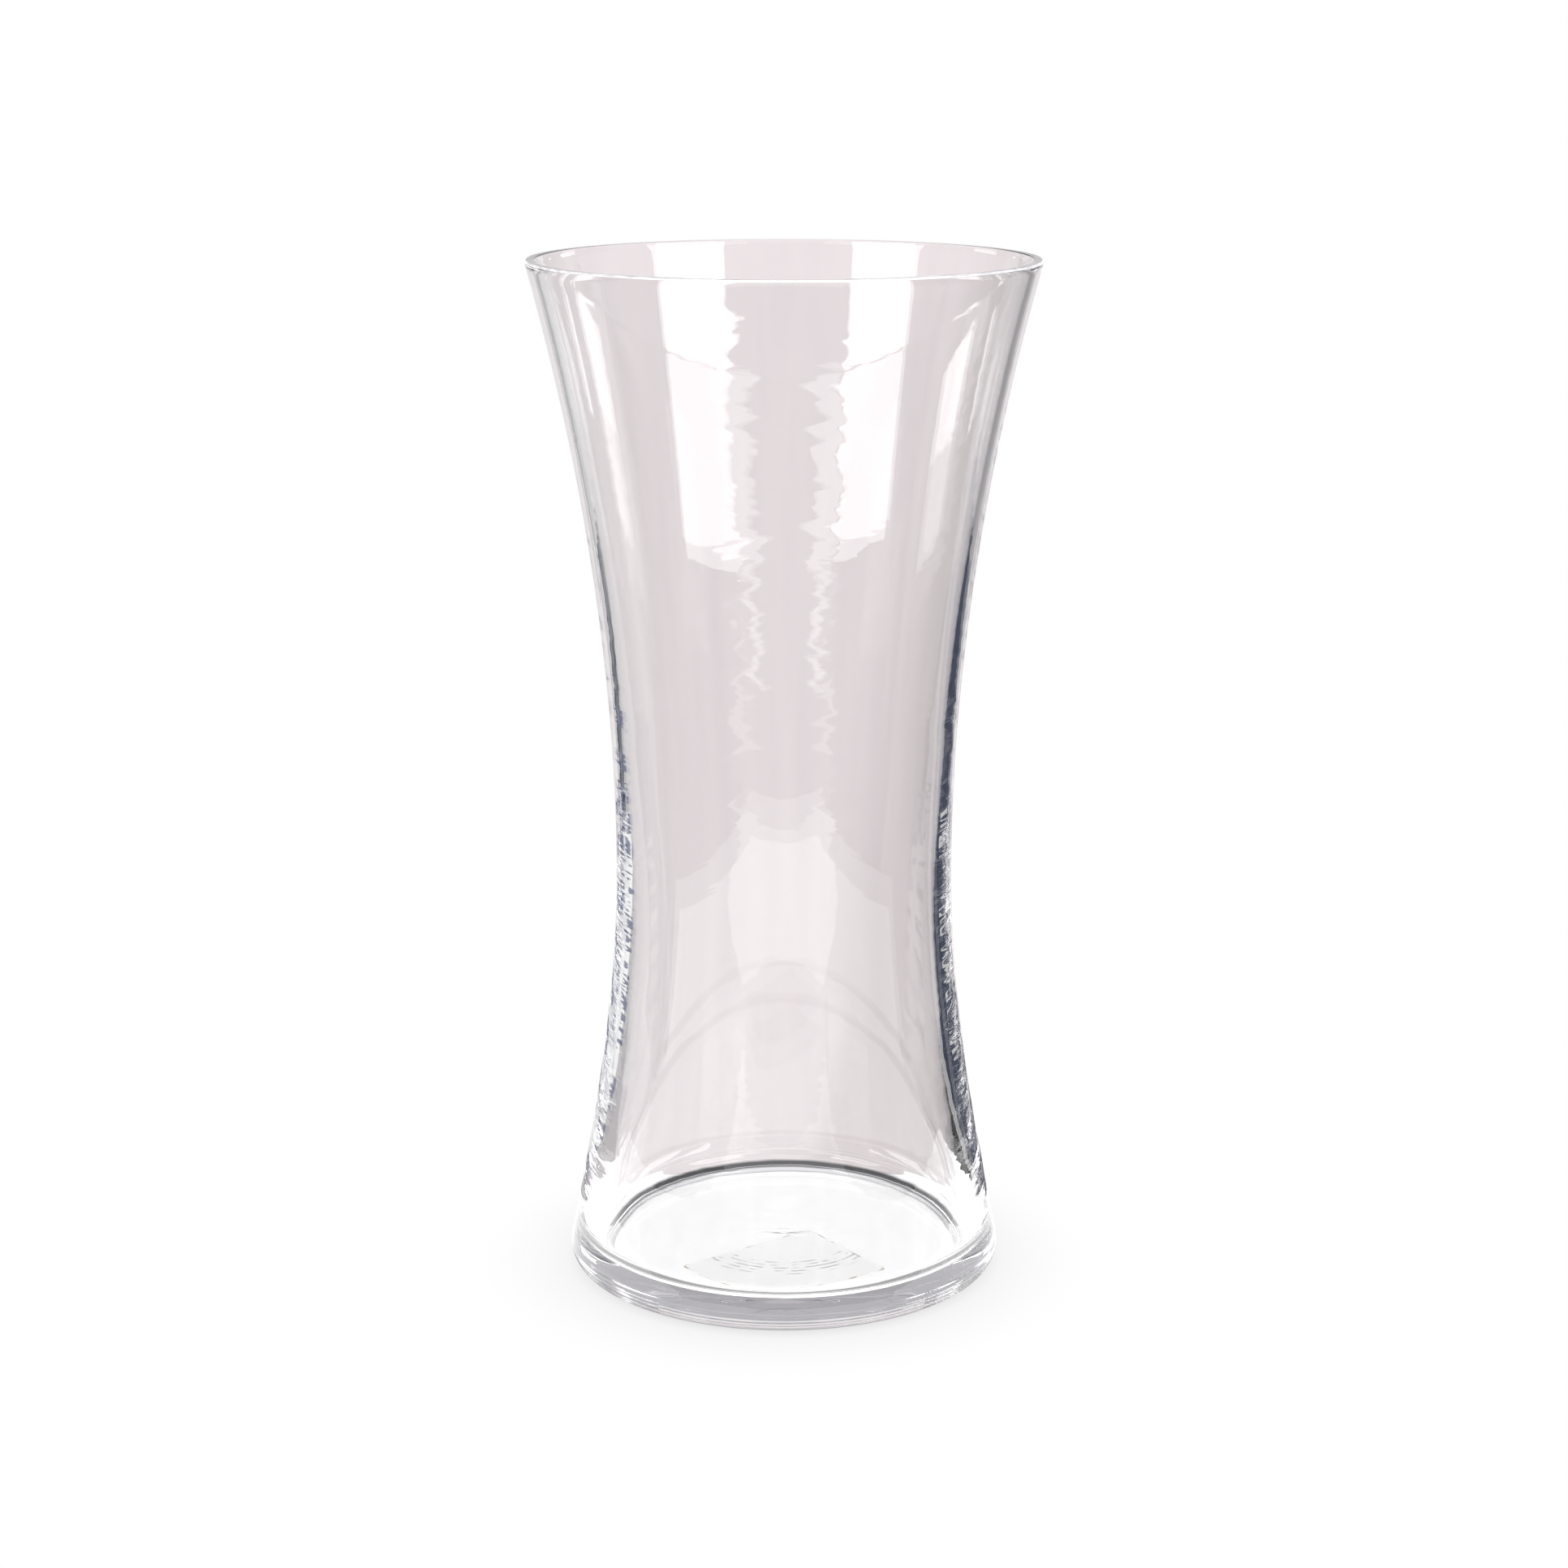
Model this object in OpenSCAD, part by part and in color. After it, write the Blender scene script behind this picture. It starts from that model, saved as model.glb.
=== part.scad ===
// Flared glass vase: one round body of clear blown glass, narrow at the waist and open at the mouth,
// and a blank paper label stuck in the shallow hollow under its floor.
// Millimetres, +Z up, origin on the table at the middle of the base.

/* [Outline] */
// Height of the vase, from the table to the rim
height = 300; // [250:1:360]
// Outer diameter of the mouth, at the rim
mouth_d = 147; // [125:1:180]
// Outer diameter of the waist, the narrowest place
waist_d = 98.8; // [84:0.2:110]
// Height of the waist above the table
waist_z = 124; // [100:1:150]
// Outer diameter of the heel, where the flare of the foot turns round to the table
heel_d = 128.6; // [118:0.2:160]
// Height of the rounded heel
heel_h = 7.2; // [4:0.2:10]

/* [Glass] */
// Thickness of the wall at the rim
rim_wall = 2.8; // [2:0.1:4]
// Thickness that the wall grows to at the table
foot_wall = 8.6; // [5:0.1:10]
// Radius of the polished edges of the rim
rim_round = 0.6; // [0.2:0.1:0.9]
// Height of the inside floor above the table
floor_z = 7; // [5:0.5:14]
// Height of the rounding between the floor and the wall, inside
floor_curve_h = 6; // [3:0.5:12]

/* [Underside] */
// Width of the flat ring that the vase stands on
ring_w = 2; // [1:0.1:6]
// Width of the slope between the ring and the hollow
hollow_slope_w = 2; // [1:0.1:8]
// Height of the hollow above the table
hollow_h = 1.2; // [0.6:0.1:3]

/* [Label] */
// Length of the label's longer sides
label_l = 46; // [20:1:52]
// Length of the label's shorter sides
label_w = 37; // [15:1:44]
// Thickness of the label
label_t = 0.2; // [0.1:0.05:0.4]
// Radius of the label's corners
label_corner_r = 1; // [0.5:0.1:4]
// Room between the label's outermost corner and the slope of the hollow
label_margin = 0.4; // [0.2:0.1:6]
// Turn of the label's longer sides away from the X axis, in degrees
label_turn = 36.5; // [0:0.5:90]

/* [Hidden] */
$fn = 96;
mouth_r = mouth_d / 2;
waist_r = waist_d / 2;
heel_r = heel_d / 2;
// How early a flare opens on its way from the waist: 1 is a parabola, more opens sooner and ends straighter
mouth_flare_share = 1.05;
foot_flare_share = 1.4;
// How the wall thickens on its way down from the rim: 1 is steady, more keeps the upper wall thin
wall_power = 2.5;
// Steps of each flare and of each rounded corner
flare_steps = 20;
corner_steps = 10;
slope_steps = 8;
// Short height over which the lean of the wall is taken
lean_step = height / 1000;

// How far a flare has opened at share t of its length
function opened(t, early) = t * t * (early + (1 - early) * t);

// Radius of the outside at height z
function outside_r(z) =
    z > waist_z
    ? waist_r + (mouth_r - waist_r) * opened((z - waist_z) / (height - waist_z), mouth_flare_share)
    : waist_r + (heel_r - waist_r) * opened((waist_z - z) / (waist_z - heel_h), foot_flare_share);

// Thickness of the wall at height z
function wall(z) = rim_wall + (foot_wall - rim_wall) * pow(1 - z / height, wall_power);

// Radius of the inside at height z
function inside_r(z) = outside_r(z) - wall(z);

// Angle by which the wall leans out as it rises, from its radii just above and below
function lean(r_above, r_below) = atan((r_above - r_below) / lean_step);
function outside_lean(z) = lean(outside_r(z), outside_r(z - lean_step));
function inside_lean(z) = lean(inside_r(z), inside_r(z - lean_step));

// Points of an arc about c, from angle a0 to angle a1
function arc(c, r, a0, a1) =
    [
        for (i = [0:corner_steps])
            let (a = a0 + (a1 - a0) * i / corner_steps)
                c + r * [cos(a), sin(a)]
    ];

// Heights from z0 to z1, ends included
function heights(z0, z1) = [for (i = [0:flare_steps]) z0 + (z1 - z0) * i / flare_steps];

// The heel: an arc that leaves the flare of the foot without a corner and lies down on the table
heel_lean = -outside_lean(heel_h);
heel_round = heel_h / (1 + sin(heel_lean));
heel_c = [heel_r - heel_round * cos(heel_lean), heel_round];

// The corner inside: the same kind of arc, from the inner wall to the floor
floor_curve_z = floor_z + floor_curve_h;
floor_lean = -inside_lean(floor_curve_z);
floor_round = floor_curve_h / (1 + sin(floor_lean));
floor_c = [inside_r(floor_curve_z) - floor_round * cos(floor_lean), floor_z + floor_round];

// The rim: ground flat, with both edges rounded by the polishing
rim_lean = outside_lean(height);
rim_c_z = height - rim_round;
rim_out_z = rim_c_z - rim_round * sin(rim_lean);
rim_in_z = rim_c_z + rim_round * sin(rim_lean);
rim_out_c = [outside_r(rim_out_z) - rim_round * cos(rim_lean), rim_c_z];
rim_in_c = [inside_r(rim_in_z) + rim_round * cos(rim_lean), rim_c_z];

// The hollow under the floor: a level ceiling, and a slope down to the ring without corners
ring_in_r = heel_c.x - ring_w;
hollow_r = ring_in_r - hollow_slope_w;
hollow_slope = [
    for (i = [0:slope_steps])
        [hollow_r + hollow_slope_w * i / slope_steps, hollow_h * (1 + cos(180 * i / slope_steps)) / 2]
];

// Half section of the glass, from the axis along the underside, up the outside and down the inside
glass_outline = concat(
    [[0, hollow_h]],
    hollow_slope,
    arc(heel_c, heel_round, -90, heel_lean),
    [for (z = heights(heel_h, waist_z)) [outside_r(z), z]],
    [for (z = heights(waist_z, rim_out_z)) [outside_r(z), z]],
    arc(rim_out_c, rim_round, -rim_lean, 90),
    arc(rim_in_c, rim_round, 90, 180 - rim_lean),
    [for (z = heights(rim_in_z, waist_z)) [inside_r(z), z]],
    [for (z = heights(waist_z, floor_curve_z)) [inside_r(z), z]],
    arc(floor_c, floor_round, floor_lean, -90),
    [[0, floor_z]]
);

// The label lies in front of the axis, its outermost corner close to the slope of the hollow
label_reach = norm([label_l / 2 - label_corner_r, label_w / 2 - label_corner_r]) + label_corner_r;
label_y = -(hollow_r - label_margin - label_reach);

module glass_body() {
    color([0.86, 0.88, 0.89, 0.35])
        rotate_extrude()
            polygon(glass_outline);
}

// A rectangle with round corners: two crossing strips and a disc in each corner
module rounded_rectangle(l, w, r) {
    square([l, w - 2 * r], center = true);
    square([l - 2 * r, w], center = true);
    for (x = [-1, 1], y = [-1, 1])
        translate([x * (l / 2 - r), y * (w / 2 - r)])
            circle(r);
}

module base_label() {
    color([0.95, 0.94, 0.9])
        translate([0, label_y, hollow_h - label_t])
            rotate(label_turn)
                linear_extrude(label_t)
                    rounded_rectangle(label_l, label_w, label_corner_r);
}

glass_body();
base_label();
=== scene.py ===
import math

import bmesh
import bpy
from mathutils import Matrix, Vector, noise


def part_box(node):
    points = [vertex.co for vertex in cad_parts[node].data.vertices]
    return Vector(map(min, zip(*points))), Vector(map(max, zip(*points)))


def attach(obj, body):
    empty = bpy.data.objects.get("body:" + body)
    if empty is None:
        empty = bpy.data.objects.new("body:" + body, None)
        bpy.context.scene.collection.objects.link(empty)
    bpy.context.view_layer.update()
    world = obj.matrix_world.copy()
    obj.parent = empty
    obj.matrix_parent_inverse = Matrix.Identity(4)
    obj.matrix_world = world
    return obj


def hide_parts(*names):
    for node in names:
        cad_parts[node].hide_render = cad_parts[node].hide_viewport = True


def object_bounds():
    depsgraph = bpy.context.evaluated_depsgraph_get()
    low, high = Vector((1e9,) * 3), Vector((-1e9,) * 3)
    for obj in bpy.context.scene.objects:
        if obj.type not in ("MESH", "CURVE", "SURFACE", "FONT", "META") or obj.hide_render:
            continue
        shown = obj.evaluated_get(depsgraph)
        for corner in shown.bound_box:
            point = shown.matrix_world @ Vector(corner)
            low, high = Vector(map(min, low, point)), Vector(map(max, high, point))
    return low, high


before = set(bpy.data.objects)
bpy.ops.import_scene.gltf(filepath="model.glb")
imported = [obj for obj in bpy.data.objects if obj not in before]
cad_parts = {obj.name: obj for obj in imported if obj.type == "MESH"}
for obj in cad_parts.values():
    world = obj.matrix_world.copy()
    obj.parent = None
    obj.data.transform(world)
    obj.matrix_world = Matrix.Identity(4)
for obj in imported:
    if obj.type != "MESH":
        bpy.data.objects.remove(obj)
cad_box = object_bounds()

# Camera. A portrait lens looks down on the vase a little, from straight in front.
# Its distance and height follow from the ellipses of the rim and of the foot.
camera_distance = 0.925
camera_height = 0.373
camera_pitch = math.radians(13.74)
camera_lens = 74.35
camera_sensor = 36.0
camera_nearest = 0.01

camera_data = bpy.data.cameras.new("camera")
camera_data.lens = camera_lens
camera_data.sensor_width = camera_sensor
camera_data.clip_start = camera_nearest
camera = bpy.data.objects.new("camera", camera_data)
camera.location = (0.0, -camera_distance, camera_height)
camera.rotation_euler = (math.pi / 2 - camera_pitch, 0.0, 0.0)
scene = bpy.context.scene
scene.collection.objects.link(camera)
scene.camera = camera
scene.view_settings.view_transform = "Standard"

# Glass body. One piece of clear glass, blown in a mould: narrow at the waist, flared to the mouth and
# to the heavy foot. The rim is cut flat and polished, and the foot stands on a narrow ring.
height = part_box("glass_body")[1].z
mouth_radius = 0.0735
waist_radius = 0.0494
waist_z = 0.124
heel_radius = 0.0643
heel_height = 0.0072
rim_wall = 0.0028
foot_wall = 0.0086
rim_round = 0.0006
floor_z = 0.007
floor_curve_height = 0.006
ring_width = 0.002
hollow_slope_width = 0.002
# The hollow is 0.05 mm higher than the solid's, which leaves a film of air over the label
hollow_height = 0.00125
# How early each flare opens on its way from the waist, and how late the wall thickens on its way down
mouth_flare_share = 1.05
foot_flare_share = 1.4
wall_power = 2.5
lean_step = 0.0001
# The edge loops that keep the flat of the rim level lie this far from its rounded edges
rim_loop_inset = 0.00004
# Steps of each stretch of the section, and of the turn
hollow_steps = 8
slope_steps = 10
curve_steps = 14
foot_steps = 70
mouth_steps = 90
rim_steps = 6
inner_foot_steps = 60
floor_steps = 12
turn_steps = 240
merge_distance = 0.000001


# How far a flare has opened at share t of its length
def opened(t, early):
    return t * t * (early + (1 - early) * t)


def outside_radius(z):
    if z > waist_z:
        t = (z - waist_z) / (height - waist_z)
        return waist_radius + (mouth_radius - waist_radius) * opened(t, mouth_flare_share)
    t = (waist_z - z) / (waist_z - heel_height)
    return waist_radius + (heel_radius - waist_radius) * opened(t, foot_flare_share)


def wall_at(z):
    return rim_wall + (foot_wall - rim_wall) * (1 - z / height) ** wall_power


def inside_radius(z):
    return outside_radius(z) - wall_at(z)


# Angle by which a wall leans out at height z, from the function that gives its radius
def lean(radius, z):
    return math.atan((radius(z) - radius(z - lean_step)) / lean_step)


def arc(centre, radius, start, end, steps):
    angles = [start + (end - start) * i / steps for i in range(steps + 1)]
    return [(centre[0] + radius * math.cos(a), centre[1] + radius * math.sin(a)) for a in angles]


def flare(radius, z0, z1, steps):
    heights = [z0 + (z1 - z0) * i / steps for i in range(steps + 1)]
    return [(radius(z), z) for z in heights]


heel_lean = -lean(outside_radius, heel_height)
heel_round = heel_height / (1 + math.sin(heel_lean))
heel_centre = (heel_radius - heel_round * math.cos(heel_lean), heel_round)
floor_curve_z = floor_z + floor_curve_height
floor_lean = -lean(inside_radius, floor_curve_z)
floor_round = floor_curve_height / (1 + math.sin(floor_lean))
floor_centre = (inside_radius(floor_curve_z) - floor_round * math.cos(floor_lean), floor_z + floor_round)
rim_lean = lean(outside_radius, height)
rim_centre_z = height - rim_round
rim_out_z = rim_centre_z - rim_round * math.sin(rim_lean)
rim_in_z = rim_centre_z + rim_round * math.sin(rim_lean)
rim_out_centre = (outside_radius(rim_out_z) - rim_round * math.cos(rim_lean), rim_centre_z)
rim_in_centre = (inside_radius(rim_in_z) + rim_round * math.cos(rim_lean), rim_centre_z)
ring_inner = heel_centre[0] - ring_width
hollow_radius = ring_inner - hollow_slope_width
hollow_slope = [
    (
        hollow_radius + hollow_slope_width * i / slope_steps,
        hollow_height * (1 + math.cos(math.pi * i / slope_steps)) / 2,
    )
    for i in range(slope_steps + 1)
]
# Half section of the glass, from the axis along the underside, up the outside and down the inside
section = (
    [(hollow_radius * i / hollow_steps, hollow_height) for i in range(hollow_steps)]
    + hollow_slope
    + arc(heel_centre, heel_round, -math.pi / 2, heel_lean, curve_steps)
    + flare(outside_radius, heel_height, waist_z, foot_steps)[1:]
    + flare(outside_radius, waist_z, rim_out_z, mouth_steps)[1:]
    + arc(rim_out_centre, rim_round, -rim_lean, math.pi / 2, rim_steps)[1:]
    + [(rim_out_centre[0] - rim_loop_inset, height), (rim_in_centre[0] + rim_loop_inset, height)]
    + arc(rim_in_centre, rim_round, math.pi / 2, math.pi - rim_lean, rim_steps)
    + flare(inside_radius, rim_in_z, waist_z, mouth_steps)[1:]
    + flare(inside_radius, waist_z, floor_curve_z, inner_foot_steps)[1:]
    + arc(floor_centre, floor_round, floor_lean, -math.pi / 2, curve_steps)[1:]
    + [(floor_centre[0] * (1 - i / floor_steps), floor_z) for i in range(1, floor_steps + 1)]
)

glass_mesh = bmesh.new()
section_points = [glass_mesh.verts.new((r, 0.0, z)) for r, z in section]
section_edges = [glass_mesh.edges.new(pair) for pair in zip(section_points, section_points[1:])]
bmesh.ops.spin(
    glass_mesh,
    geom=section_points + section_edges,
    cent=(0, 0, 0),
    axis=(0, 0, 1),
    angle=2 * math.pi,
    steps=turn_steps,
    use_merge=True,
)
bmesh.ops.remove_doubles(glass_mesh, verts=glass_mesh.verts, dist=merge_distance)
bmesh.ops.recalc_face_normals(glass_mesh, faces=glass_mesh.faces)

# The surfaces are a little uneven, as blown glass is: long shallow waves, none at the rim or the heel.
# Low on the left and right the waves are short and deeper, and one swell goes all the way round the
# inside, at the height of the waist.
wave_height = 0.00004
wave_width = 0.030
wave_length = 0.055
wave_full_z = 0.03
wave_end_drop = 0.03
outer_shift = Vector((7.3, 2.1, 4.7))
swell_height = 0.00022
swell_z = 0.124
swell_length = 0.085
side_wave_height = 0.00030
side_wave_width = 0.026
side_wave_length = 0.012
side_wave_top_z = 0.11
side_wave_full_z = 0.06
side_wave_power = 8
side_wave_least = 0.01


def smooth_step(low, high, value):
    t = min(max((value - low) / (high - low), 0.0), 1.0)
    return t * t * (3 - 2 * t)


for vertex in glass_mesh.verts:
    radius = math.hypot(vertex.co.x, vertex.co.y)
    z = vertex.co.z
    if z < floor_curve_z or z > rim_out_z:
        continue
    outer = radius > outside_radius(z) - wall_at(z) / 2
    waviness = smooth_step(floor_curve_z, wave_full_z, z) * smooth_step(height, height - wave_end_drop, z)
    place = Vector((vertex.co.x / wave_width, vertex.co.y / wave_width, z / wave_length))
    if outer:
        place += outer_shift
    push = wave_height * noise.noise(place) * waviness
    if not outer and abs(z - swell_z) < swell_length / 2:
        push += swell_height * math.sin(2 * math.pi * (z - swell_z) / swell_length)
    low_down = smooth_step(side_wave_top_z, side_wave_full_z, z)
    side = (vertex.co.x / radius) ** side_wave_power * low_down * waviness
    if side > side_wave_least:
        place = Vector((vertex.co.x / side_wave_width, vertex.co.y / side_wave_width, z / side_wave_length))
        push += side_wave_height * side * noise.noise(place)
    vertex.co.x += push * vertex.co.x / radius
    vertex.co.y += push * vertex.co.y / radius

# The waves never carry the glass past the solid's box
fit = cad_box[1].x / max(v.co.x for v in glass_mesh.verts)
if fit < 1:
    bmesh.ops.scale(glass_mesh, vec=(fit, fit, 1), verts=glass_mesh.verts)
for face in glass_mesh.faces:
    face.smooth = True
glass_data = bpy.data.meshes.new("vase_glass")
glass_mesh.to_mesh(glass_data)
glass_mesh.free()
vase = bpy.data.objects.new("vase_glass", glass_data)
scene.collection.objects.link(vase)

# Its finish is clear glass. The blowing leaves faint upright striae in it, and level ridges on it, which
# are strongest on the left and right. The cut outer edge of the rim is frosted.
# A grain is a noise: its cells to the metre along X, Y and Z, and its detail. A fade is where a mark
# begins and where it is full: a height, a distance from the middle, or a share of the noise.
glass_ior = 1.52
clear_tone = (1.0, 1.0, 1.0)
striae_tone = (0.975, 0.975, 0.978)
striae_grain = ((150, 150, 2), 2.0)
striae_fade = (0.35, 0.7)
ridge_grain = ((16, 16, 210), 1.5)
side_ridge_fade = (0.21, 0.16)
side_ridge_power = 8
side_ridge_weight = 2.4
upper_ridge_fade = (0.13, 0.19)
upper_ridge_weight = 0.3
heel_grain = ((50, 50, 70), 1.5)
heel_fade = (0.022, 0.010)
heel_weight = 0.5
chill_grain = ((80, 80, 230), 1.0)
chill_weight = 0.14
mark_strength = 1.0
mark_depth = 0.00008
tilt_grain = ((30, 0, 240), 3.0)
tilt_middle_fade = (0.024, 0.014)
tilt_low_fade = (0.125, 0.15)
tilt_high_fade = (0.29, 0.27)
tilt_strength = 0.30
noise_middle = 0.5
frost_grain = ((260, 260, 260), 2.0)
frost_least = 0.2
frost_outwards = 0.2
frost_tone = (0.9, 0.89, 0.9)


# A maths node, fed with numbers or with other nodes' outputs
def worked_out(tree, operation, *values):
    node = tree.nodes.new("ShaderNodeMath")
    node.operation = operation
    for socket, value in zip(node.inputs, values):
        if isinstance(value, (int, float)):
            socket.default_value = value
        else:
            tree.links.new(value, socket)
    return node.outputs[0]


def times(tree, first, second):
    return worked_out(tree, "MULTIPLY", first, second)


def plus(tree, first, second):
    return worked_out(tree, "ADD", first, second)


def over(tree, value, limit):
    return worked_out(tree, "GREATER_THAN", value, limit)


# A soft change from 0 at one value to 1 at another
def stepped(tree, value, low, high):
    node = tree.nodes.new("ShaderNodeMapRange")
    node.interpolation_type = "SMOOTHSTEP"
    node.inputs["From Min"].default_value = low
    node.inputs["From Max"].default_value = high
    tree.links.new(value, node.inputs["Value"])
    return node.outputs["Result"]


def uneven(tree, place, scale, detail):
    stretched = tree.nodes.new("ShaderNodeMapping")
    stretched.inputs["Scale"].default_value = scale
    tree.links.new(place, stretched.inputs["Vector"])
    texture = tree.nodes.new("ShaderNodeTexNoise")
    texture.inputs["Scale"].default_value = 1.0
    texture.inputs["Detail"].default_value = detail
    tree.links.new(stretched.outputs["Vector"], texture.inputs["Vector"])
    return texture.outputs["Fac"]


def blended(tree, share, first, second):
    node = tree.nodes.new("ShaderNodeMix")
    node.data_type = "RGBA"
    tree.links.new(share, node.inputs["Factor"])
    for socket, value in ((node.inputs["A"], first), (node.inputs["B"], second)):
        if isinstance(value, tuple):
            socket.default_value = (*value, 1)
        else:
            tree.links.new(value, socket)
    return node.outputs["Result"]


# The X, Y and Z of a vector socket
def parts(tree, vector):
    node = tree.nodes.new("ShaderNodeSeparateXYZ")
    tree.links.new(vector, node.inputs[0])
    return node.outputs["X"], node.outputs["Y"], node.outputs["Z"]


clear_glass = bpy.data.materials.new("clear_glass")
clear_glass.use_nodes = True
tree = clear_glass.node_tree
glass_shader = tree.nodes["Principled BSDF"]
glass_shader.inputs["Transmission Weight"].default_value = 1.0
glass_shader.inputs["Roughness"].default_value = 0.0
glass_shader.inputs["IOR"].default_value = glass_ior
on_glass = tree.nodes.new("ShaderNodeTexCoord").outputs["Object"]
glass_x, glass_y, glass_z = parts(tree, on_glass)

striae = stepped(tree, uneven(tree, on_glass, *striae_grain), *striae_fade)
tree.links.new(blended(tree, striae, clear_tone, striae_tone), glass_shader.inputs["Base Color"])

# Ridges on both sides below and all round above, an uneven heel, and the fine chill of the mould all over
across = times(tree, glass_x, glass_x)
along = times(tree, glass_y, glass_y)
at_side = worked_out(tree, "DIVIDE", across, plus(tree, across, along))
at_side = worked_out(tree, "POWER", at_side, side_ridge_power)
at_side = times(tree, at_side, stepped(tree, glass_z, *side_ridge_fade))
all_round = times(tree, stepped(tree, glass_z, *upper_ridge_fade), upper_ridge_weight)
ridge_weight = plus(tree, times(tree, at_side, side_ridge_weight), all_round)
marks = times(tree, uneven(tree, on_glass, *ridge_grain), ridge_weight)
heel_marks = times(tree, uneven(tree, on_glass, *heel_grain), stepped(tree, glass_z, *heel_fade))
marks = plus(tree, marks, times(tree, heel_marks, heel_weight))
marks = plus(tree, marks, times(tree, uneven(tree, on_glass, *chill_grain), chill_weight))
marked = tree.nodes.new("ShaderNodeBump")
marked.inputs["Strength"].default_value = mark_strength
marked.inputs["Distance"].default_value = mark_depth
tree.links.new(marks, marked.inputs["Height"])

# In a belt above the waist, front and back, the glass tilts to the left and right by turns. This breaks
# the upright edges of what it mirrors into teeth.
middle = stepped(tree, worked_out(tree, "ABSOLUTE", glass_x), *tilt_middle_fade)
belt = times(tree, stepped(tree, glass_z, *tilt_low_fade), stepped(tree, glass_z, *tilt_high_fade))
tilt = worked_out(tree, "SUBTRACT", uneven(tree, on_glass, *tilt_grain), noise_middle)
tilt = times(tree, times(tree, tilt, tilt_strength), times(tree, middle, belt))
sideways = tree.nodes.new("ShaderNodeCombineXYZ")
tree.links.new(tilt, sideways.inputs["X"])
tilted = tree.nodes.new("ShaderNodeVectorMath")
tilted.operation = "ADD"
tree.links.new(marked.outputs["Normal"], tilted.inputs[0])
tree.links.new(sideways.outputs[0], tilted.inputs[1])
normal = tree.nodes.new("ShaderNodeVectorMath")
normal.operation = "NORMALIZE"
tree.links.new(tilted.outputs[0], normal.inputs[0])
tree.links.new(normal.outputs[0], glass_shader.inputs["Normal"])

# The frosted edge: the part of the rim's rounding that faces outwards
frosted = tree.nodes.new("ShaderNodeBsdfDiffuse")
frosted.inputs["Color"].default_value = (*frost_tone, 1)
facing = tree.nodes.new("ShaderNodeNewGeometry").outputs["True Normal"]
facing_x, facing_y, _ = parts(tree, facing)
outwards = plus(tree, times(tree, facing_x, glass_x), times(tree, facing_y, glass_y))
on_edge = times(
    tree,
    over(tree, glass_z, rim_centre_z),
    over(tree, outwards, rim_out_centre[0] * frost_outwards),
)
frost = uneven(tree, on_glass, *frost_grain)
frost = times(tree, on_edge, worked_out(tree, "MULTIPLY_ADD", frost, 1 - frost_least, frost_least))
with_edge = tree.nodes.new("ShaderNodeMixShader")
tree.links.new(frost, with_edge.inputs[0])
tree.links.new(glass_shader.outputs[0], with_edge.inputs[1])
tree.links.new(frosted.outputs[0], with_edge.inputs[2])
tree.links.new(with_edge.outputs[0], tree.nodes["Material Output"].inputs["Surface"])
glass_data.materials.append(clear_glass)
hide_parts("glass_body")
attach(vase, "root")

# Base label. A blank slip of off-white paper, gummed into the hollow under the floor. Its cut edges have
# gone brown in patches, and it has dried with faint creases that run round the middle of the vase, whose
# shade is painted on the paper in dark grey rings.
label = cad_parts["base_label"]
label_length = 0.046
label_width = 0.037
label_turn = math.radians(36.5)
label_low, label_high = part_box("base_label")
label_middle = (label_low + label_high) / 2
paper_roughness = 0.8
fibre_grain = ((2500, 900, 900), 3.0)
fibre_dark = (0.93, 0.925, 0.915)
fibre_light = (0.97, 0.965, 0.955)
patch_grain = ((260, 260, 260), 2.0)
brown_width = 0.0006
brown_patches = (0.48, 0.6)
brown_tone = (0.36, 0.25, 0.15)
crease_step = 0.0021
crease_edge = (0.2, 0.9)
crease_patches = (0.45, 0.6)
crease_inner_fade = (0.019, 0.022)
crease_outer_fade = (0.032, 0.029)
# The painted shade of the creases
crease_shade_tone = (0.42, 0.41, 0.44)


def from_axis(tree, x, y):
    return worked_out(tree, "SQRT", plus(tree, times(tree, x, x), times(tree, y, y)))


paper = bpy.data.materials.new("label_paper")
paper.use_nodes = True
tree = paper.node_tree
paper_shader = tree.nodes["Principled BSDF"]
paper_shader.inputs["Roughness"].default_value = paper_roughness
on_label = tree.nodes.new("ShaderNodeTexCoord").outputs["Object"]
squared = tree.nodes.new("ShaderNodeMapping")
squared.vector_type = "TEXTURE"
squared.inputs["Location"].default_value = label_middle
squared.inputs["Rotation"].default_value = (0, 0, label_turn)
tree.links.new(on_label, squared.inputs["Vector"])
label_x, label_y, _ = parts(tree, squared.outputs["Vector"])
to_end = worked_out(tree, "SUBTRACT", label_length / 2, worked_out(tree, "ABSOLUTE", label_x))
to_side = worked_out(tree, "SUBTRACT", label_width / 2, worked_out(tree, "ABSOLUTE", label_y))
to_edge = worked_out(tree, "MINIMUM", to_end, to_side)
patches = uneven(tree, on_label, *patch_grain)
browned = times(
    tree,
    stepped(tree, to_edge, brown_width, brown_width / 3),
    stepped(tree, patches, *brown_patches),
)
vase_x, vase_y, _ = parts(tree, on_label)
out = from_axis(tree, vase_x, vase_y)
ripple = worked_out(tree, "SINE", times(tree, out, 2 * math.pi / crease_step))
# Painted crease shade: dark grey rings round the vase's axis, in patches
crease_shade = times(
    tree,
    times(tree, stepped(tree, out, *crease_inner_fade), stepped(tree, out, *crease_outer_fade)),
    times(tree, stepped(tree, ripple, *crease_edge), stepped(tree, patches, *crease_patches)),
)
tone = blended(tree, uneven(tree, on_label, *fibre_grain), fibre_dark, fibre_light)
tone = blended(tree, crease_shade, tone, crease_shade_tone)
tone = blended(tree, browned, tone, brown_tone)
tree.links.new(tone, paper_shader.inputs["Base Color"])
label.data.materials.clear()
label.data.materials.append(paper)
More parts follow.
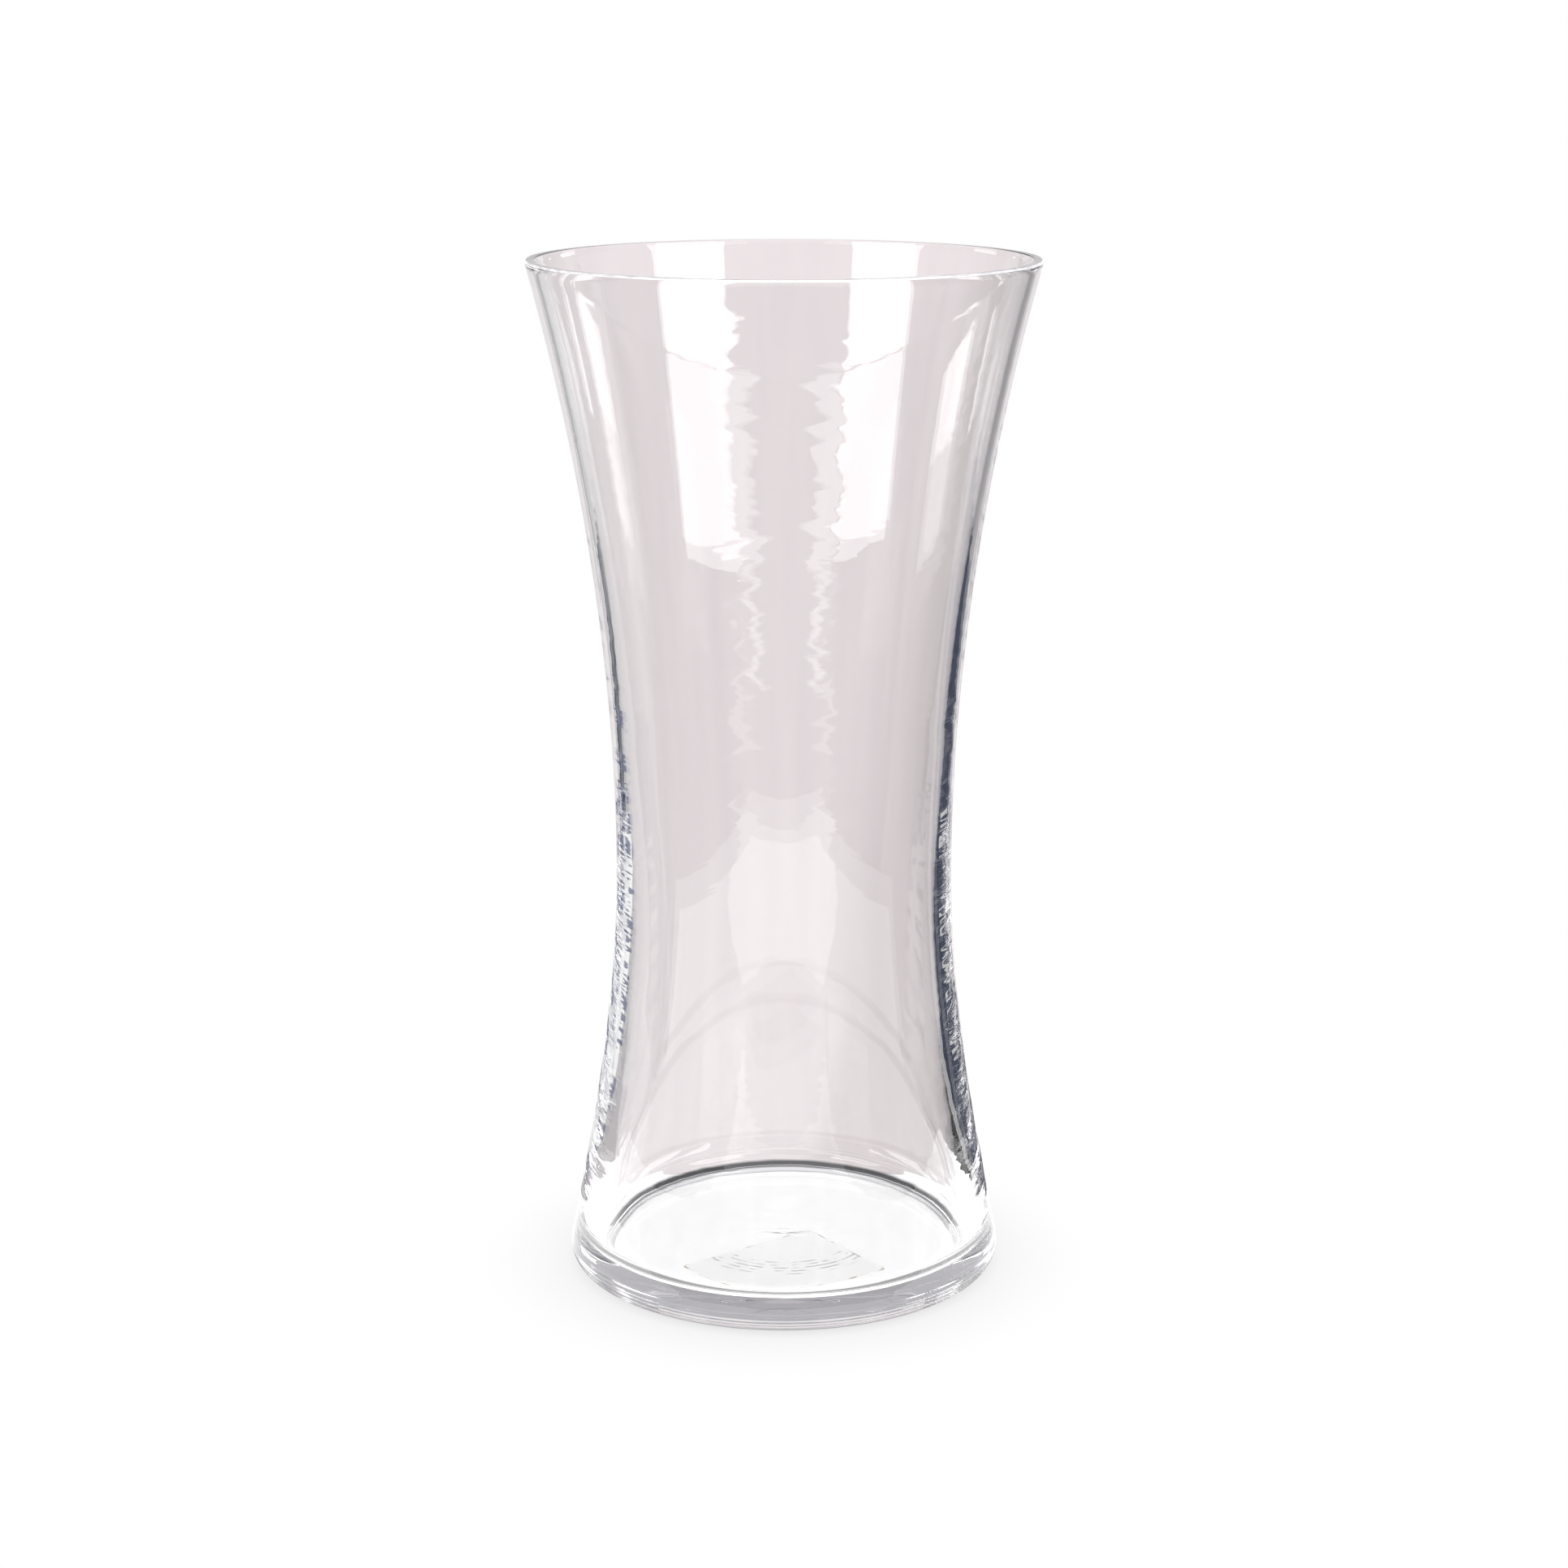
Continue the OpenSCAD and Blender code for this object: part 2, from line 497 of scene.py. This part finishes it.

# Table top and floor. A white board lies under the vase and reaches towards the camera. What is seen
# straight is white.
# To rays from the glass the floor glows with painted light: the board brighter than white and, past its
# edges, the pale grey sheet of the backdrop and the dark and pale parts of the room.
floor_reach = 3.0
floor_tone = (0.85, 0.85, 0.85)
shadow_reach = 0.03
shadow_tone = (0.78, 0.78, 0.78)
white = (1.0, 1.0, 1.0)
board_back = 0.055
board_front = -0.41
board_left = -0.215
board_right = 0.207
# The board's painted glow in the glass: brighter than white, and brighter still where mirrored
board_glow_through_glass = (1.19, 1.19, 1.19)
board_glow_mirrored = (1.6, 1.6, 1.6)
backdrop = (0.89, 0.82, 0.832)
shaded_backdrop = (0.745, 0.678, 0.688)
shade_start = math.radians(3)
shade_full = math.radians(12)

# Light Path counts how often a ray was mirrored and how many surfaces it went through, which are two to
# a wall of glass. Each of these limits lies between two counts.
mirrored_once = 0.5
mirrored_twice = 1.5
mirrored_often = 3.5
entered_glass = 0.5
past_one_wall = 2.5

# Parts of the room that the glass mirrors, as stops by bearing: degrees to the right of straight behind
# the vase, and the tone from there on. There is one set near the vase, one farther out, and one far away.
dark_room = (0.04, 0.04, 0.045)
dark_side = (0.05, 0.06, 0.09)
right_room = (0.02, 0.02, 0.02)
right_corner = (0.45, 0.45, 0.45)
far_side = (0.33, 0.32, 0.33)
far_left = (0.65, 0.65, 0.65)
left_room = (0.50, 0.48, 0.49)
left_corner = (0.5, 0.5, 0.5)
bright_back = (0.84, 0.81, 0.82)
near_reach = 0.45
far_reach = 0.86
near_stops = (
    (-180, dark_room),
    (-90, left_room),
    (-50, white),
    (-20, bright_back),
    (26, dark_side),
    (55, right_corner),
    (60, right_room),
    (90, dark_room),
)
middle_stops = (
    (-180, dark_room),
    (-90, left_room),
    (-55, left_corner),
    (-43, dark_side),
    (-34, bright_back),
    (26, dark_side),
    (55, right_corner),
    (60, right_room),
    (90, dark_room),
)
far_stops = (
    (-180, dark_room),
    (-90, left_room),
    (-50, far_left),
    (-34, far_side),
    (-30, bright_back),
    (24, far_side),
    (50, right_corner),
    (60, right_room),
    (90, dark_room),
)

# Slats lie across the room on both sides of the board: dark ones with gaps on the left, pale on the right
slat_step = 0.06
left_slat_reach = 0.6
left_slat_from = math.radians(-52)
left_slat_to = math.radians(-18)
left_slat_edge = (0.0, 0.4)
left_slat_tone = (0.10, 0.12, 0.22)
gap_grain = ((11, 11, 11), 1.0)
gap_edge = (0.43, 0.5)
right_slat_from = math.radians(30)
right_slat_to = math.radians(44)
right_slat_edge = (0.5, 0.8)
right_slat_tone = (0.7, 0.7, 0.7)

# In front of the board the room is painted dark as the outside of the glass mirrors it, and grey as the
# inside does, and paler grey where it is mirrored twice: painted reflections of one place in three tones
dim_room = (0.05, 0.05, 0.05)
grey_room = (0.42, 0.41, 0.43)
turned_twice = (0.50, 0.49, 0.50)

# Where the vase meets the table, the glass shows a ring of shade: dark at the back, pale in front and
# mid grey through one wall alone
contact_middle = 0.0615
contact_core = 0.003
contact_fade = 0.0045
contact_back = 0.01
contact_front_tone = (0.6, 0.6, 0.6)
contact_base_tone = (0.42, 0.42, 0.42)

# Light that was mirrored many times inside the thick heel comes from painted dark and pale patches of light
# and shade
long_way_grain = ((9, 9, 9), 2.0)
long_way_edge = (0.42, 0.58)
long_way_dark = (0.20, 0.20, 0.24)
long_way_light = (0.66, 0.64, 0.66)

floor_mesh = bmesh.new()
bmesh.ops.create_grid(floor_mesh, x_segments=1, y_segments=1, size=floor_reach)
floor_data = bpy.data.meshes.new("floor")
floor_mesh.to_mesh(floor_data)
floor_mesh.free()
floor = bpy.data.objects.new("floor", floor_data)
scene.collection.objects.link(floor)


def under(tree, value, limit):
    return worked_out(tree, "LESS_THAN", value, limit)


def between(tree, value, low, high):
    return times(tree, over(tree, value, low), under(tree, value, high))


# The tones of a row of stops, each from its bearing to the next. A new ramp holds two stops of its own,
# and one of them goes last, because a ramp is never empty.
def by_bearing(tree, bearing, stops):
    ramp = tree.nodes.new("ShaderNodeValToRGB")
    ramp.color_ramp.interpolation = "CONSTANT"
    tree.links.new(worked_out(tree, "MULTIPLY_ADD", bearing, 0.5 / math.pi, 0.5), ramp.inputs["Fac"])
    tones = ramp.color_ramp.elements
    tones.remove(tones[1])
    for degrees, tone in stops:
        stop = tones.new((degrees + 180) / 360)
        stop.color = (*tone, 1)
    tones.remove(tones[0])
    return ramp.outputs["Color"]


# The backdrop, darker towards its right
def sheet(tree, bearing):
    shade = stepped(tree, bearing, shade_start, shade_full)
    return blended(tree, shade, backdrop, shaded_backdrop)


def is_glassy(tree, path):
    return worked_out(tree, "MAXIMUM", path.outputs["Is Transmission Ray"], path.outputs["Is Glossy Ray"])


white_floor = bpy.data.materials.new("white_floor")
white_floor.use_nodes = True
tree = white_floor.node_tree
tree.nodes.clear()
path = tree.nodes.new("ShaderNodeLightPath")
mirrorings = path.outputs["Glossy Depth"]
surfaces = path.outputs["Transmission Depth"]
on_floor = tree.nodes.new("ShaderNodeTexCoord").outputs["Object"]
across, along, _ = parts(tree, on_floor)
distance = from_axis(tree, across, along)
bearing = worked_out(tree, "ARCTAN2", across, along)
before_board = under(tree, along, board_front)
one_wall = under(tree, surfaces, past_one_wall)
on_board = times(
    tree,
    between(tree, along, board_front, board_back),
    between(tree, across, board_left, board_right),
)

# What the glass mirrors past the board: the room, its slats and the part in front
beyond = blended(
    tree,
    over(tree, distance, far_reach),
    by_bearing(tree, bearing, middle_stops),
    by_bearing(tree, bearing, far_stops),
)
past_board = blended(
    tree,
    over(tree, distance, near_reach),
    by_bearing(tree, bearing, near_stops),
    beyond,
)
slats = worked_out(tree, "SINE", times(tree, distance, 2 * math.pi / slat_step))
gaps = uneven(tree, on_floor, *gap_grain)
left_slats = times(
    tree,
    between(tree, bearing, left_slat_from, left_slat_to),
    times(tree, stepped(tree, slats, *left_slat_edge), under(tree, distance, left_slat_reach)),
)
left_slats = times(tree, left_slats, stepped(tree, gaps, *gap_edge))
right_slats = times(
    tree,
    between(tree, bearing, right_slat_from, right_slat_to),
    times(tree, stepped(tree, slats, *right_slat_edge), under(tree, distance, near_reach)),
)
past_board = blended(tree, left_slats, past_board, left_slat_tone)
past_board = blended(tree, right_slats, past_board, right_slat_tone)
# Painted reflection of the room in front of the board, in a tone chosen by the ray's path through the glass
front_room = blended(tree, over(tree, surfaces, entered_glass), dim_room, grey_room)
in_front_room = times(tree, one_wall, before_board)
past_board = blended(tree, in_front_room, past_board, front_room)
twice = times(tree, over(tree, mirrorings, mirrored_twice), before_board)
past_board = blended(tree, twice, past_board, turned_twice)

# What shows in the glass, as painted glow: the board and the sheet through it, or the board and the room
# mirrored in it, with the board painted brighter where it is mirrored
through = blended(tree, on_board, sheet(tree, bearing), board_glow_through_glass)
mirrored = blended(tree, on_board, past_board, board_glow_mirrored)
in_glass = blended(tree, over(tree, mirrorings, mirrored_once), through, mirrored)
contact_tone = blended(tree, over(tree, along, contact_back), contact_front_tone, dark_room)
contact_tone = blended(tree, one_wall, contact_tone, contact_base_tone)
off_contact = worked_out(tree, "ABSOLUTE", worked_out(tree, "SUBTRACT", distance, contact_middle))
clear_of_contact = stepped(tree, off_contact, contact_core, contact_core + contact_fade)
in_glass = blended(tree, clear_of_contact, contact_tone, in_glass)
# Painted patches of light and shade, for rays mirrored many times in the heel
patches = stepped(tree, uneven(tree, on_floor, *long_way_grain), *long_way_edge)
long_way = blended(tree, patches, long_way_dark, long_way_light)
in_glass = blended(tree, over(tree, mirrorings, mirrored_often), in_glass, long_way)
painted_glass_view = tree.nodes.new("ShaderNodeEmission")
tree.links.new(in_glass, painted_glass_view.inputs["Color"])

# Seen straight, the floor is white with a soft shadow round the vase. To all other light it is matt.
shadow = tree.nodes.new("ShaderNodeAmbientOcclusion")
shadow.inputs["Distance"].default_value = shadow_reach
camera_view = tree.nodes.new("ShaderNodeEmission")
tree.links.new(blended(tree, shadow.outputs["AO"], shadow_tone, white), camera_view.inputs["Color"])
matt = tree.nodes.new("ShaderNodeBsdfDiffuse")
matt.inputs["Color"].default_value = (*floor_tone, 1)
by_glass = tree.nodes.new("ShaderNodeMixShader")
tree.links.new(is_glassy(tree, path), by_glass.inputs[0])
tree.links.new(matt.outputs[0], by_glass.inputs[1])
tree.links.new(painted_glass_view.outputs[0], by_glass.inputs[2])
by_camera = tree.nodes.new("ShaderNodeMixShader")
tree.links.new(path.outputs["Is Camera Ray"], by_camera.inputs[0])
tree.links.new(by_glass.outputs[0], by_camera.inputs[1])
tree.links.new(camera_view.outputs[0], by_camera.inputs[2])
floor_output = tree.nodes.new("ShaderNodeOutputMaterial")
tree.links.new(by_camera.outputs[0], floor_output.inputs["Surface"])
floor_data.materials.append(white_floor)

# Studio walls, as the world. White where the camera sees them. Through the glass they are the backdrop.
# Mirrored in it they are grey in front, dark and pale by bearing behind, and light at the ceiling.
# They light the label strongly, because the light of the lamps doesn't reach it through the glass.
low_wall = (0.42, 0.41, 0.44)
ceiling = (0.85, 0.84, 0.86)
wall_rise = 0.2
ceiling_rise = 0.5
label_light = (3.5, 3.5, 3.5)
scattered_once = 0.5

world = bpy.data.worlds.new("studio")
scene.world = world
world.use_nodes = True
tree = world.node_tree
tree.nodes.clear()
path = tree.nodes.new("ShaderNodeLightPath")
mirrorings = path.outputs["Glossy Depth"]
surfaces = path.outputs["Transmission Depth"]
direction = tree.nodes.new("ShaderNodeTexCoord").outputs["Generated"]
across, along, rise = parts(tree, direction)
bearing = worked_out(tree, "ARCTAN2", across, along)
back_wall = times(tree, over(tree, along, 0.0), over(tree, rise, wall_rise))
room = blended(tree, back_wall, by_bearing(tree, bearing, far_stops), low_wall)
front_wall = times(tree, under(tree, along, 0.0), under(tree, surfaces, past_one_wall))
room = blended(tree, front_wall, room, grey_room)
room = blended(tree, over(tree, rise, ceiling_rise), room, ceiling)
room = blended(tree, over(tree, mirrorings, mirrored_often), room, grey_room)
in_glass = blended(tree, over(tree, mirrorings, mirrored_once), sheet(tree, bearing), room)
from_paper = over(tree, path.outputs["Diffuse Depth"], scattered_once)
in_glass = blended(tree, from_paper, in_glass, label_light)
light = blended(tree, is_glassy(tree, path), white, in_glass)
seen = blended(tree, path.outputs["Is Camera Ray"], light, white)
background = tree.nodes.new("ShaderNodeBackground")
tree.links.new(seen, background.inputs["Color"])
world_output = tree.nodes.new("ShaderNodeOutputWorld")
tree.links.new(background.outputs[0], world_output.inputs["Surface"])

# Soft boxes. Two tall lamps stand beside the camera and give the white bands down the glass, and dimmer
# strips nearer to it give the fainter ones. Lamps behind the vase give the bright streaks along its edges.
box_distance = 1.15
box_top = 1.1
box_bottom_right = 0.278
box_bottom_left = 0.300
box_glow = 4.2
side_top = 0.47
side_split = 0.33
side_bottom = 0.19
side_glow = 3.6
side_glow_low = 1.6
thin_top = 0.40
thin_bottom = 0.27
strip_top = 0.63
strip_split = 0.27
strip_bottom = 0.05
strip_glow = 1.7


# A lamp that faces the vase's axis. Its edges are in degrees round the vase from the camera, positive to
# the right, and in metres above the table. Its energy follows its size, so that the glow is as given.
def soft_box(name, from_degrees, to_degrees, bottom, top, glow):
    half = math.radians(to_degrees - from_degrees) / 2
    azimuth = math.radians(from_degrees + to_degrees) / 2
    width = abs(2 * box_distance * math.tan(half))
    lamp = bpy.data.lights.new(name, "AREA")
    lamp.shape = "RECTANGLE"
    lamp.size = width
    lamp.size_y = top - bottom
    lamp.energy = glow * math.pi * width * (top - bottom)
    box = bpy.data.objects.new(name, lamp)
    box.location = (
        math.sin(azimuth) * box_distance,
        -math.cos(azimuth) * box_distance,
        (bottom + top) / 2,
    )
    box.rotation_euler = Vector((box.location.x, box.location.y, 0)).to_track_quat("Z", "Y").to_euler()
    scene.collection.objects.link(box)
    box.visible_camera = False


soft_box("soft_box_right", 31.4, 69.5, box_bottom_right, box_top, box_glow)
soft_box("soft_box_left", -36.0, -71.2, box_bottom_left, box_top, box_glow)
soft_box("side_light_right", 118.0, 131.0, side_split, side_top, side_glow)
soft_box("side_light_right_low", 118.0, 131.0, side_bottom, side_split, side_glow_low)
soft_box("side_light_left", -103.0, -121.0, side_split, side_top, side_glow)
soft_box("side_light_left_low", -103.0, -121.0, side_bottom, side_split, side_glow_low)
soft_box("thin_light_right", 143.0, 146.0, thin_bottom, thin_top, side_glow)
soft_box("thin_light_left", -138.0, -141.0, thin_bottom, thin_top, side_glow)
soft_box("strip_right", 18.0, 31.0, strip_split, strip_top, strip_glow)
soft_box("strip_left", -19.0, -35.0, strip_split, strip_top, strip_glow)
soft_box("strip_right_low", 20.0, 25.5, strip_bottom, strip_split, strip_glow)
soft_box("strip_left_low", -22.0, -28.5, strip_bottom, strip_split, strip_glow)

# Light is followed a long way, because the thick heel mirrors it many times before it comes out
glass_bounces = 64
scene.cycles.max_bounces = glass_bounces
scene.cycles.glossy_bounces = glass_bounces
scene.cycles.transmission_bounces = glass_bounces
